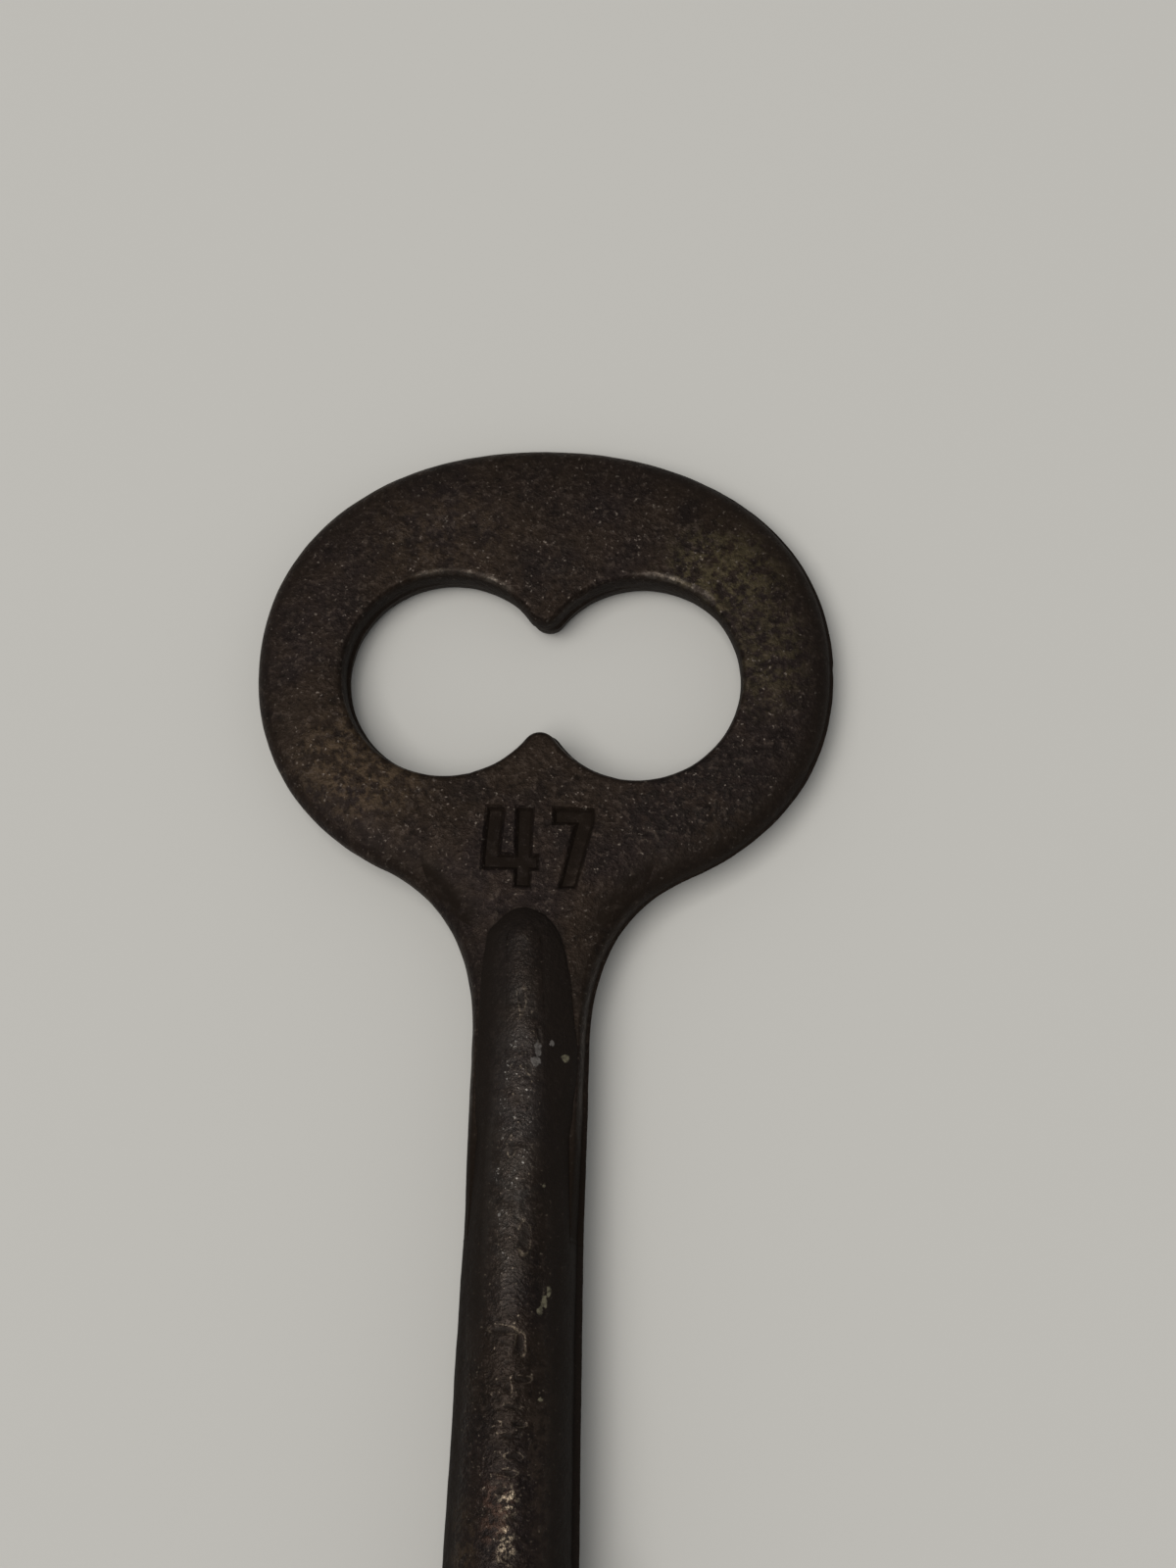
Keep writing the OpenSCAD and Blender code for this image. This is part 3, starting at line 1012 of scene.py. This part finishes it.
def coordinate(at, axis):
    """One of the three coordinates, in metres."""
    return add_node(at, "SeparateXYZ", {0: at}).outputs[axis]


def along(at, axis, low_mm, high_mm, start=0.0, end=1.0):
    """A smooth step along one axis, between two places in millimetres."""
    return between(coordinate(at, axis), low_mm * MM, high_mm * MM, start, end)


def near_height(at, height_mm, full_mm, reach_mm):
    """1 within full_mm of a height above or below the middle plane, falling to 0 at reach_mm."""
    height = math_of("ABSOLUTE", coordinate(at, "Z"))
    return between(away_from(height, height_mm * MM), full_mm * MM, reach_mm * MM, 1, 0)


# %% [markdown]
# ## Where edges wear and take painted shade
# The bow's rim, the edge of the eye and the corner round the nose wear in their own ways and take dirt,
# painted shade and, on the eye's upper edges, a painted highlight, and no coordinate says how far a point is
# from them. So the bow's mesh carries three attributes that do: 1 at the edge and 0 from some way in. The
# shank carries one that is 1 in the middle of each dent.

# %% Mark the edges
rim_reach = 2.0
eye_reach = 1.1
corner_reach = 0.14


def mark(piece, name, share):
    """Stores one number for each point of a piece, under a name that a material can read."""
    piece.data.attributes.new(name, "FLOAT", "POINT").data.foreach_set("value", share.astype(np.float32))


def marked(at, name):
    """The attribute of that name, in a material."""
    return add_node(at, "Attribute", {}, attribute_name=name).outputs["Fac"]


bow_points = points_of(bow)
mirrored = bow_points * np.where(bow_points[:, 2:] < 0, [-1, 1, 1], [1, 1, 1])
mark(bow, "rim", np.clip(1 - distance_to(outline, bow_points) / rim_reach, 0, 1))
mark(bow, "eye", np.clip(1 - distance_to(eye, bow_points) / eye_reach, 0, 1))
mark(bow, "corner", np.clip(1 - distance_to(foot_line, mirrored) / corner_reach, 0, 1))
mark(shank, "dent", np.max([share for share, deep in dent_shares(points_of(shank))], axis=0))
carried = [name for name in bow.data.attributes.keys() if name in ("rim", "eye", "corner")]
print("the bow carries", carried)

# %% [markdown]
# ## Browned iron
# Old iron that is handled and never polished grows a thin brown-black skin of oxide and oil. It is dull,
# mottled from violet-brown to olive, and full of fine grain from the casting sand that glitters where it
# catches light. Ridges are rubbed to a greyer, smoother tone. The layers below follow that order: ground
# colour, mottling, warm stains (one of them also a painted sheen), grain, dirt with painted shade, rubbed
# metal where hands reach with painted highlights, a polished ridge painted lighter with painted sparkle,
# and flakes of old paint.

# %% Mix the browned iron
skin_metal = 0.4


def browned_iron(name, stains, rubbed, dirt, tone, flakes=(), polish=None, gloss=0.12, rough=0.5,
                 sparkle=1.0, bright=(0.17, 0.145, 0.12), sheen=(0.50, 0.44, 0.38)):
    """The shared finish. stains are (centre, reach, colour, strength) spots, and flakes are small ragged
    ones without a strength. rubbed, dirt and polish are functions of the coordinates, which give the share
    of bare metal, of dirt and of polish. Dirt also paints shade into the colour, bare metal is in places a
    painted highlight, and polish lightens the colour as a painted highlight and adds painted sparkle. tone
    multiplies the skin's colours, gloss is how much it shines as lacquer does, rough how dull it is at most,
    sparkle multiplies its grain's relief, bright is bare metal's colour and sheen the colour of the lacquer's
    shine."""
    material, shader = new_material(name)
    at = add_node(shader[0], "TexCoord", {}).outputs["Object"]

    def shade(*colour):
        return [part * share for part, share in zip(colour, tone)]

    slow = noise(at, 6.0, 3)
    mottle = noise(at, 1.5, 5, 0.62)
    blotch = noise(at, 0.55, 5, 0.65)
    grain = noise(at, 0.30, 3, 0.6)
    speck = noise(at, 0.17, 2, 0.5)
    violet, ochre = shade(0.0222, 0.0155, 0.0138), shade(0.0250, 0.0168, 0.0118)
    colour = tint(between(slow, 0.40, 0.60), violet, ochre)
    colour = tint(between(mottle, 0.48, 0.64, 0, 0.5), colour, shade(0.0350, 0.0236, 0.0172))
    colour = tint(between(mottle, 0.34, 0.50, 0.6, 0), colour, shade(0.0120, 0.0090, 0.0082))
    for centre, reach, stain, strength in stains:
        here = times(blot(at, centre, reach), between(blotch, 0.43, 0.60, 0, strength))
        colour = tint(here, colour, shade(*stain))
    colour = tint(between(blotch, 0.53, 0.68, 0, 0.4), colour, shade(0.048, 0.034, 0.026))
    colour = tint(between(grain, 0.55, 0.68, 0, 0.5), colour, shade(0.076, 0.056, 0.044))
    colour = tint(between(grain, 0.32, 0.46, 0.55, 0), colour, shade(0.0075, 0.0056, 0.0048))
    colour = tint(between(speck, 0.60, 0.70, 0, 0.35), colour, shade(0.110, 0.085, 0.070))
    # The dirt masks also paint shade: they darken the shank's sides, steps, rims and corners, where shade
    # falls.
    dirt_and_shade = dirt(at)
    colour = tint(dirt_and_shade, colour, shade(0.0140, 0.0094, 0.0066))
    # Bare metal is also a painted highlight on the eye's upper edges, the parting line and the dents' lips.
    bare = less(rubbed(at), dirt_and_shade)
    colour = tint(bare, colour, bright)
    shine = less(between(bare, 0, 0.6, skin_metal, 1), dirt_and_shade)
    dull = between(blotch, 0.35, 0.68, rough, rough - 0.16)
    # The polished ridge is less rough, and it is painted lighter with painted sparkle, as a highlight along
    # it.
    if polish is not None:
        smooth = polish(at)
        colour = tint(times(smooth, 0.08), colour, (0.22, 0.20, 0.18))
        dull = less(dull, times(smooth, 0.2))
        painted_sparkle = times(between(smooth, 0.60, 0.95), between(speck, 0.63, 0.72, 0, 0.5))
        colour = tint(painted_sparkle, colour, (0.42, 0.40, 0.37))
    dull = highest(dull, times(dirt_and_shade, 0.9))
    if flakes:
        ragged = times(math_of("SUBTRACT", noise(at, 0.22, 4, 0.7), 0.5), 2.4)
    for centre, reach, flake in flakes:
        found = between(math_of("ADD", blot(at, centre, reach), ragged), 0.56, 0.90, 0, 0.9)
        found = less(found, between(grain, 0.38, 0.56, 0.5, 0))
        colour = tint(found, colour, flake)
        shine = less(shine, found)
    feed(shader["Base Color"], colour)
    feed(shader["Metallic"], shine)
    feed(shader["Roughness"], dull)
    shader["Specular IOR Level"].default_value = gloss
    shader["Specular Tint"].default_value = (*sheen, 1)
    normal = None
    depths = (0.06, 0.08, 0.045 * sparkle, 0.018 * sparkle)
    for pattern, depth in zip((mottle, blotch, grain, speck), depths):
        normal = relief(pattern, depth, normal)
    feed(shader["Normal"], normal)
    return material


# %% [markdown]
# ## Wear, dirt, painted shade and painted highlights
# Where the metal is bare and where dirt sits is a question of place. The functions below answer it from the
# coordinates, the marked edges and some noise that breaks the borders up. The key was hung up by the upper
# edges of its eye and turned by its bow, so those are rubbed, and dirt stays in every corner that a thumb
# can't reach. The same masks also paint light and shade into the colour: darker sides on the shank, and a
# darker parting step, nose, rim and corner round the nose, where shade falls. They also paint lighter metal
# as a highlight along the eye's upper edges, the parting line and the lips of the dents.

# %% Rub the ridges, fill the corners and paint shade and highlights


def glints(at):
    """Bare specks, few and fine, and a thin lighter line beside the one where the mould's halves met, rubbed
    metal that is also a painted highlight of the fin.
    """
    specks = between(noise(at, 0.17, 1), 0.70, 0.77, 0, 0.45)
    # The lighter line beside the parting line: rubbed, and a painted highlight.
    worn_line_and_highlight = between(noise(at, 1.1, 3), 0.40, 0.62, 0, 0.25)
    return highest(specks, times(near_height(at, 0.13, 0.02, 0.07), worn_line_and_highlight))


def bow_wear_and_highlight(at):
    """Glints, and lighter bare metal on the upper edges of the eye: rubbed by the ring that the key hung on,
    and a painted highlight where those edges catch the lamp.
    """
    # Two spots on the eye's upper edges, painted lighter as a highlight as well as wear.
    left = blot(at, (-3.7, 66.4, face_z), (2.9, 1.5, 3))
    right = blot(at, (5.9, 66.0, face_z), (2.6, 1.8, 3))
    broken = between(noise(at, 0.7, 5, 0.7), 0.44, 0.62, 0.08, 0.5)
    edge = times(between(marked(at, "eye"), 0.54, 0.68), broken, near_height(at, face_z, 0.12, 0.30))
    return highest(glints(at), times(edge, highest(left, right)))


def nose_dirt_and_shade(at):
    """Dirt and painted shade in the corner round the nose, nearly even there and thin along the shank."""
    return times(along(at, "Y", 42, 47.5, 0.25, 1), between(noise(at, 0.9, 4, 0.6), 0.30, 0.70, 0.95, 0.55))


def bow_dirt_and_shade(at):
    """Dirt and painted shade on the floor of the numerals, in the corner round the nose and, thinner, along
    the rim, most on its right side; darker down the eye's walls and towards the tang."""
    numerals = math_of("GREATER_THAN", blot(at, (*numerals_at, face_z), (5.6, 4.6, 3.0)), 0.01)
    # The numerals' floor: dirt, and painted shade in the recess.
    floor_dirt_and_shade = times(numerals, near_height(at, face_z - numeral_depth, 0.08, 0.26))
    floor_dirt_and_shade = less(floor_dirt_and_shade, between(noise(at, 0.5, 3), 0.45, 0.7, 0.12, 0.5))
    # Along the rim: dirt and painted shade, strongest on the right side.
    uneven = between(noise(at, 1.6, 4, 0.6), 0.25, 0.60, 0.9, 0.3)
    uneven = highest(uneven, along(at, "X", 1.5, 6, 0, 0.85))
    rim_dirt_and_shade = times(between(marked(at, "rim"), 0.1, 0.75), uneven, 0.8)
    # The corner round the nose, where the brazing meets the face: dirt and painted shade.
    corner = times(between(marked(at, "corner"), 0.0, 1.0, 0, 0.8), nose_dirt_and_shade(at))
    wall = less(between(marked(at, "eye"), 0.72, 0.88, 0, 0.7), near_height(at, face_z, 0.10, 0.30))
    return highest(floor_dirt_and_shade, rim_dirt_and_shade, corner, wall, along(at, "Y", 38, 46, 0.92, 0))


def shank_rub(at):
    """Bare metal in two places on the ridge and on the dents' lips, broken up by grain, and glints. The lips
    are also a painted highlight.
    """
    broken = between(noise(at, 0.32, 3, 0.6), 0.47, 0.60, 0, 0.9)
    upper = blot(at, (-0.02, 24.3, 2.9), (0.55, 0.9, 0.8))
    lower = blot(at, (-0.05, 22.4, 3.0), (0.5, 1.3, 0.8))
    # The dents' lips: worn metal, and a painted highlight.
    lips = between(away_from(marked(at, "dent"), 0.22), 0.03, 0.12, 0.28, 0)
    lips = times(lips, between(noise(at, 0.5, 3), 0.48, 0.60))
    return highest(glints(at), times(highest(upper, lower), broken), lips)


def shank_dirt_and_shade(at):
    """Dirt and painted shade in the dents, in the step along the right side, where the halves of the mould
    met, low round the nose and over its end, and painted shade down the sides of the bar, where it turns away
    from the lamp."""
    right = along(at, "X", 0, 1)
    # The step along the right side, where the mould's halves met: painted shadow, and dirt.
    step = times(right, 0.9, near_height(at, 0, 0.05, 0.35))
    # Low round the nose and over its end: dirt and painted shade.
    low = times(near_height(at, 0, 1.35, 2.0), along(at, "Y", 37, 44))
    corner = times(highest(low, along(at, "Y", 49.2, 50.2)), nose_dirt_and_shade(at))
    # Down the bar's sides, darkest left of the ridge: painted shade where the bar turns from the lamp.
    shaded_flanks = times(near_height(at, 0, 0.9, 2.2), along(at, "Y", 28, 40, 0.6, 1))
    shaded_left_flank = times(near_height(at, 0, 1.3, 2.45), math_of("SUBTRACT", 1.0, right))
    shade_beside_ridge = times(along(at, "X", -1.8, -1.1, 0.9, 0), along(at, "Y", 28, 33))
    shaded_right_flank = times(near_height(at, 0, 1.9, 2.75), right, along(at, "Y", 14, 20, 0, 0.9))
    flank_shade = highest(shaded_flanks, shaded_left_flank, shade_beside_ridge, shaded_right_flank)
    flank_shade = times(flank_shade, between(noise(at, 1.3, 4, 0.6), 0.30, 0.65, 1.0, 0.93))
    # In the dents: dirt and painted shade.
    return highest(step, corner, between(marked(at, "dent"), 0.35, 0.8, 0, 0.6), flank_shade)


def shank_polish(at):
    """The upper part of the ridge, which fingers have polished, broken up by small dull places. Where it is
    polished, the colour is also painted lighter and sparkling, as a painted highlight along the ridge.
    """
    ridge = blot(at, (-0.5, 40.0, 2.4), (1.5, 11.0, 1.6))
    return times(ridge, between(noise(at, 0.8, 4, 0.6), 0.38, 0.60, 0.35, 1))


# %% Brown the bow and the shank
paint = (0.120, 0.108, 0.072)
chip = (0.112, 0.102, 0.094)
flakes = [
    ((1.36, 33.30, 2.4), (0.24, 0.50, 0.6), paint),
    ((1.20, 32.85, 2.5), (0.26, 0.50, 0.6), paint),
    ((1.02, 32.42, 2.6), (0.24, 0.40, 0.6), paint),
    ((1.66, 43.70, 1.6), (0.34, 0.30, 0.6), paint),
    ((0.97, 37.90, 2.4), (0.12, 0.14, 0.5), paint),
    ((1.19, 28.65, 2.6), (0.24, 0.26, 0.5), paint),
    ((0.47, 44.00, 2.2), (0.26, 0.66, 0.6), chip),
    ((0.40, 43.45, 2.3), (0.42, 0.40, 0.6), chip),
    ((1.05, 44.31, 2.0), (0.20, 0.26, 0.5), chip),
]
olive_and_sheen = (0.078, 0.062, 0.032)
golden = (0.078, 0.052, 0.030)
copper = (0.085, 0.045, 0.030)
warm_brown = (0.070, 0.050, 0.036)
shade_brown = (0.0120, 0.0095, 0.0088)
bow_stains = [
    # The first of these stains, at the upper right, is also a painted sheen.
    ((8.2, 66.8, 1.1), (3.8, 3.0, 3), olive_and_sheen, 0.85),
    ((10.4, 62.8, 1.1), (2.4, 3.8, 3), olive_and_sheen, 0.55),
    ((-8.2, 57.2, 1.1), (4.2, 3.6, 3), golden, 0.8),
    ((-5.0, 68.4, 1.1), (5.2, 3.6, 3), golden, 0.25),
    ((7.2, 56.0, 1.1), (5.4, 4.2, 3), shade_brown, 1.0),
    ((0.0, 66.6, 1.1), (3.0, 2.4, 3), shade_brown, 0.6),
]
shank_stains = [
    ((1.7, 26.5, 2.7), (1.4, 8.0, 1.6), warm_brown, 0.8),
    ((-2.3, 22.2, 1.9), (1.6, 2.6, 2), golden, 0.9),
    ((-0.5, 23.8, 2.9), (1.1, 2.2, 2), copper, 0.8),
]
handled = {
    "dirt": shank_dirt_and_shade,
    "tone": (0.54, 0.53, 0.535),
    "flakes": flakes,
    "polish": shank_polish,
    "gloss": 0.22,
    "rough": 0.40,
    "sparkle": 1.5,
    "sheen": (0.50, 0.475, 0.445),
}
bow_iron = browned_iron("browned_iron_bow", bow_stains, bow_wear_and_highlight, bow_dirt_and_shade, (0.66, 0.665, 0.675))
rubbed_metal = (0.20, 0.16, 0.115)
shank_iron = browned_iron("browned_iron_shank", shank_stains, shank_rub, bright=rubbed_metal, **handled)
for material in (bow_iron, shank_iron):
    print(material.name, "has", len(material.node_tree.nodes), "nodes")

# %% [markdown]
# ## Filed iron and tarnished brass
# The bit's faces were filed flat, and the lock's wards keep its edges bright. The brazing is brass, which
# has gone as brown as the iron around it, so it takes the shank's layers, with a few places that still
# shine.

# %% Mix the filed iron and the tarnished brass
stroke_turn, stroke_stretch = 24, 14


def filed_iron():
    """Browned iron with fine file strokes across the bit, brighter where they stand proud."""
    material, shader = new_material("filed_iron_bit")
    at = add_node(shader[0], "TexCoord", {}).outputs["Object"]
    fed = {"Vector": at, "Rotation": (0, 0, math.radians(stroke_turn)), "Scale": (1, stroke_stretch, 1)}
    strokes = noise(add_node(at, "Mapping", fed).outputs["Vector"], 1.6, 4, 0.65)
    mottle = noise(at, 1.1, 4, 0.6)
    grain = noise(at, 0.2, 3, 0.6)
    colour = tint(between(mottle, 0.38, 0.62), (0.018, 0.0135, 0.0115), (0.034, 0.027, 0.022))
    colour = tint(between(strokes, 0.52, 0.70, 0, 0.7), colour, (0.110, 0.084, 0.064))
    feed(shader["Base Color"], colour)
    feed(shader["Metallic"], between(strokes, 0.50, 0.70, 0.3, 0.85))
    feed(shader["Roughness"], between(grain, 0.3, 0.7, 0.52, 0.36))
    shader["Specular IOR Level"].default_value = 0.15
    shader["Specular Tint"].default_value = (0.60, 0.52, 0.44, 1)
    feed(shader["Normal"], relief(grain, 0.012, relief(strokes, 0.03)))
    return material


def brass_glint(at):
    """Small places where the brass shows through."""
    return between(noise(at, 0.35, 4, 0.6), 0.62, 0.74, 0, 0.3)


bit_iron = filed_iron()
brass = browned_iron("tarnished_braze", [], brass_glint, **handled)
for material in (bit_iron, brass):
    print(material.name, "has", len(material.node_tree.nodes), "nodes")

# %% [markdown]
# ## Finish the pieces
# All meshes so far are in millimetres. They are brought to metres, shaded smooth except across real
# corners, given their finish and put in the frame: each rides on the key's one body and takes the place of
# its CAD node, which is hidden.

# %% Dress the frame
sharp_turn = 38


def dress(piece, material, node):
    """Brings a piece to metres, gives it its material and puts it in the place of its CAD node."""
    mesh = piece.data
    mesh.transform(Matrix.Scale(MM, 4))
    mesh.shade_smooth()
    mesh.set_sharp_from_angle(angle=math.radians(sharp_turn))
    mesh.materials.clear()
    mesh.materials.append(material)
    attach(piece, "root")
    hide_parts(node)
    mesh.calc_loop_triangles()
    print(piece.name, "stands for", node, "with", len(mesh.loop_triangles), "triangles")


dress(bow, bow_iron, "bow")
dress(shank, shank_iron, "shank")
dress(collar, shank_iron, "collar")
dress(bit, bit_iron, "bit")
dress(neck_front, brass, "neck_braze_front")
dress(neck_back, brass, "neck_braze_back")
dress(bit_front, brass, "bit_braze_front")
dress(bit_back, brass, "bit_braze_back")
dress(collar_braze, brass, "collar_braze")

# %% [markdown]
# ## Floor and light
# A key put down rests on its collar and on the far edge of its bow, so the floor leans a little against the
# key's own frame: it passes just under those two places. One large soft lamp stands almost overhead, a
# little to the left, where the light of the photograph comes from, and an even sky fills the shadows.

# %% Lay the floor
rim_rest = 0.85
rest_back_y, rest_back_z = top_y - rim_rest, -face_z
rest_front_y, rest_front_z = bead_mid, -collar_r
clear = 0.02
floor_half = 3.0
floor_lean = math.atan2(rest_back_z - rest_front_z, rest_back_y - rest_front_y)
floor_mesh = bpy.data.meshes.new("floor")
square = np.array([(-1, -1, 0), (1, -1, 0), (1, 1, 0), (-1, 1, 0)]) * floor_half
floor_mesh.from_pydata(square, [], [(0, 1, 2, 3)])
floor = placed("floor", floor_mesh)
floor.location = (0, rest_front_y * MM, (rest_front_z - clear) * MM)
floor.rotation_euler = (floor_lean, 0, 0)
floor_paint, floor_shader = new_material("pale_floor")
floor_shader["Base Color"].default_value = (0.53, 0.52, 0.49, 1)
floor_shader["Roughness"].default_value = 0.9
floor_mesh.materials.append(floor_paint)
floor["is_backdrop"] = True
print("floor leans", round(math.degrees(floor_lean), 2), "degrees")

# %% Light it
aim = Vector((0, 55, 0)) * MM
light_from = Vector((-0.25, -0.15, 0.957)).normalized()
lamp_distance = 1.6
lamp_data = bpy.data.lights.new("soft_lamp", "AREA")
lamp_data.shape = "SQUARE"
lamp_data.size = 1.15
lamp_data.energy = 19.5
lamp_data.color = (1.0, 0.98, 0.95)
lamp = placed("soft_lamp", lamp_data)
lamp.location = aim + light_from * lamp_distance
lamp.rotation_mode = "QUATERNION"
lamp.rotation_quaternion = light_from.to_track_quat("Z", "Y")

world = bpy.data.worlds.new("even_sky")
bpy.context.scene.world = world
world.use_nodes = True
sky = next(n for n in world.node_tree.nodes if n.type == "BACKGROUND")
sky.inputs["Color"].default_value = (0.96, 0.98, 1.0, 1)
sky.inputs["Strength"].default_value = 0.33
bpy.context.scene.view_settings.view_transform = "Standard"

# %% Measure the sizes and finish
visual_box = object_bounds()
low, high = [[round(part / MM, 2) for part in corner] for corner in visual_box]
print("visual model in mm, from", low, "to", high)
